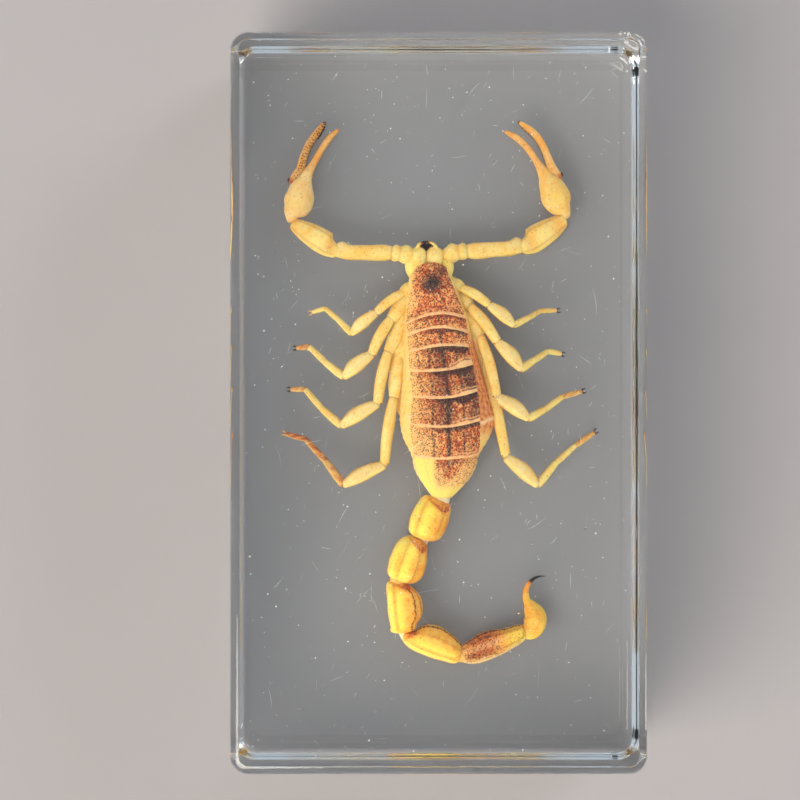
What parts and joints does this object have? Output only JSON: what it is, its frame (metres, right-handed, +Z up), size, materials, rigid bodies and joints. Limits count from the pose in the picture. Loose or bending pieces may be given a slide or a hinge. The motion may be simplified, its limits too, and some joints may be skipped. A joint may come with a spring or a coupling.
{
  "type": "scorpion in resin block",
  "caption": "Clear rectangular resin block with rounded edges that holds a whole golden scorpion with spread legs and a curled tail, for display or as a paperweight.",
  "frame": {"origin": "centre of the block's resting face, on the surface it lies on", "axes": "+Y along the block's length towards the scorpion's head, +X across its width, +Z up out of the viewing face"},
  "size_m": [0.041, 0.073, 0.022],
  "materials": {
    "clear_resin": "polished, water clear, faintly blue in its depth",
    "golden_cuticle": "satin, semi-translucent golden yellow",
    "brown_cuticle": "granular, matte red-brown with pale rear margins",
    "dark_tips": "smooth, nearly black"
  },
  "bodies": {
    "root": {"resin_block": "clear_resin"}
  },
  "joints": []
}
